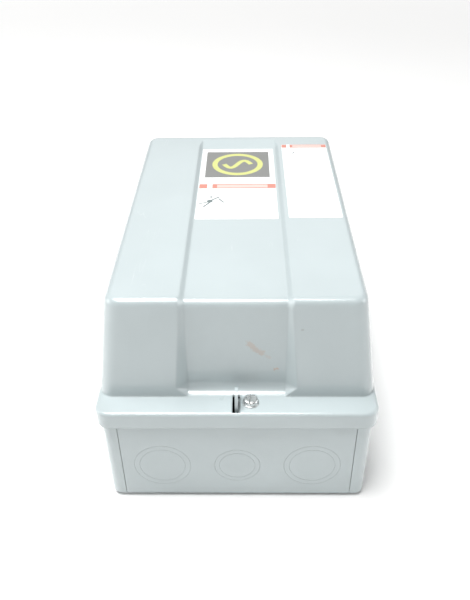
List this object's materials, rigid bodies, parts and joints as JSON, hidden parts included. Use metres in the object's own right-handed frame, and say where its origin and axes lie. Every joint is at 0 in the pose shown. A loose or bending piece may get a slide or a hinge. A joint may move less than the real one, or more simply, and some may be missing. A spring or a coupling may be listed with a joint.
{
  "type": "magnetic motor starter",
  "caption": "Sheet-steel wall box with a drawn, screw-held swing-up cover, holding a magnetic contactor and a thermal overload relay that switch a motor.",
  "frame": {"origin": "centre of the cover's outline, on the back face of the box", "axes": "+X to the right seen from the front, +Y towards the top end of the box when it hangs on a wall, +Z out of the cover"},
  "size_m": [0.165, 0.262, 0.1376],
  "materials": {
    "box_paint": "semi-gloss grey enamel",
    "cover_paint": "semi-gloss grey enamel with small scratches",
    "zinc_plate": "bright zinc plate",
    "plate_steel": "zinc-plated sheet",
    "ground_green": "green lacquer",
    "brass": "plated brass",
    "copper": "bare copper",
    "silver": "satin silver",
    "core_steel": "laminated, oiled",
    "spring_steel": "drawn wire",
    "phenolic": "moulded thermoset",
    "nylon": "natural nylon",
    "coil_tape": "taped winding",
    "rubber": "matt",
    "heater_alloy": "plated alloy",
    "reset_plastic": "moulded",
    "label_stock": "coated label",
    "sheet_paper": "matt paper",
    "wire_black": "PVC insulation"
  },
  "bodies": {
    "box": {"enclosure_base": "box_paint", "bottom_end_wall": "box_paint", "top_end_wall": "box_paint", "knockout_rings": "box_paint", "knockout_centres": "box_paint", "latch_bracket": "box_paint", "plate_screws": "zinc_plate", "foot_screws": "zinc_plate", "housing_screws": "zinc_plate", "arc_cover_screws": "zinc_plate", "coil_terminal_screws": "zinc_plate", "terminal_screws": "zinc_plate", "relay_screws": "zinc_plate", "thermal_unit_screws": "zinc_plate", "control_screws": "zinc_plate", "mounting_plate": "plate_steel", "ground_screw": "ground_green", "ground_lug": "brass", "coil_terminals": "brass", "relay_input_strips": "brass", "relay_output_strips": "brass", "wire_clamps": "brass", "line_contacts": "copper", "load_contacts": "copper", "load_links": "copper", "shading_rings": "copper", "fixed_contact_tips": "silver", "stationary_core": "core_steel", "return_springs": "spring_steel", "reset_spring": "spring_steel", "contactor_base": "phenolic", "contact_block": "phenolic", "arc_cover": "phenolic", "overload_base": "phenolic", "overload_contact_unit": "phenolic", "coil_bobbin": "nylon", "coil_winding": "coil_tape", "magnet_cushion": "rubber", "thermal_units": "heater_alloy", "coil_wire": "wire_black", "holding_wire": "wire_black", "supply_wire": "wire_black"},
    "cover": {"cover": "cover_paint", "cover_hooks": "cover_paint", "rating_label": "label_stock", "side_label": "label_stock", "wiring_diagram": "sheet_paper"},
    "screw_washer": {"screw_washer": "zinc_plate"},
    "cover_screw": {"cover_screw": "zinc_plate"},
    "contact_carrier": {"armature": "core_steel", "armature_pin": "spring_steel", "contact_carrier": "phenolic", "contact_springs": "spring_steel"},
    "contact_bridges": {"contact_bridges": "copper", "moving_contact_tips": "silver"},
    "reset_button": {"reset_button": "reset_plastic"},
    "trip_slider": {"trip_slider": "nylon"},
    "ratchet_wheel_1": {"ratchet_wheel_1": "heater_alloy"},
    "ratchet_wheel_2": {"ratchet_wheel_2": "heater_alloy"},
    "ratchet_wheel_3": {"ratchet_wheel_3": "heater_alloy"}
  },
  "joints": [
    {"name": "cover_swing", "type": "hinge", "parent": "box", "child": "cover", "pos_m": [0, 0.131, 0.06], "axis": [-1, 0, 0], "range_deg": [0, 100]},
    {"name": "screw_turn", "type": "hinge", "parent": "screw_washer", "child": "cover_screw", "pos_m": [0.0082, -0.1212, 0.0745], "axis": [0, 0, 1], "range_deg": [0, 4080]},
    {"name": "screw_lift", "type": "slide", "parent": "cover", "child": "screw_washer", "axis": [0, 0, 1], "range_m": [0, 0.0089]},
    {"name": "contactor_pull_in", "type": "slide", "parent": "box", "child": "contact_carrier", "axis": [0, 0, -1], "range_m": [0, 0.005], "stiffness_N_per_m": 800, "springref_m": -0.006, "deforming": ["return_springs"]},
    {"name": "contact_overtravel", "type": "slide", "parent": "contact_carrier", "child": "contact_bridges", "axis": [0, 0, 1], "range_m": [0, 0.0015], "deforming": ["contact_springs"]},
    {"name": "reset_press", "type": "slide", "parent": "box", "child": "reset_button", "axis": [0, 0, -1], "range_m": [0, 0.004], "stiffness_N_per_m": 300, "springref_m": -0.004, "deforming": ["reset_spring"]},
    {"name": "trip_slide", "type": "slide", "parent": "box", "child": "trip_slider", "axis": [1, 0, 0], "range_m": [0, 0.0025]},
    {"name": "ratchet_turn_1", "type": "hinge", "parent": "box", "child": "ratchet_wheel_1", "pos_m": [-0.0105, -0.0425, 0.028], "axis": [0, 0, -1], "range_deg": [0, 32]},
    {"name": "ratchet_turn_2", "type": "hinge", "parent": "box", "child": "ratchet_wheel_2", "pos_m": [0.0105, -0.0425, 0.028], "axis": [0, 0, -1], "range_deg": [0, 32]},
    {"name": "ratchet_turn_3", "type": "hinge", "parent": "box", "child": "ratchet_wheel_3", "pos_m": [0.0315, -0.0425, 0.028], "axis": [0, 0, -1], "range_deg": [0, 32]}
  ],
  "couplings": [
    {"joint": "screw_turn", "follows": "screw_lift", "rad_per_m": 7913.3},
    {"joint": "contact_overtravel", "follows": "contactor_pull_in", "ratio": 0.3},
    {"joint": "ratchet_turn_1", "follows": "trip_slide", "rad_per_m": 220},
    {"joint": "ratchet_turn_2", "follows": "trip_slide", "rad_per_m": 220},
    {"joint": "ratchet_turn_3", "follows": "trip_slide", "rad_per_m": 220}
  ]
}
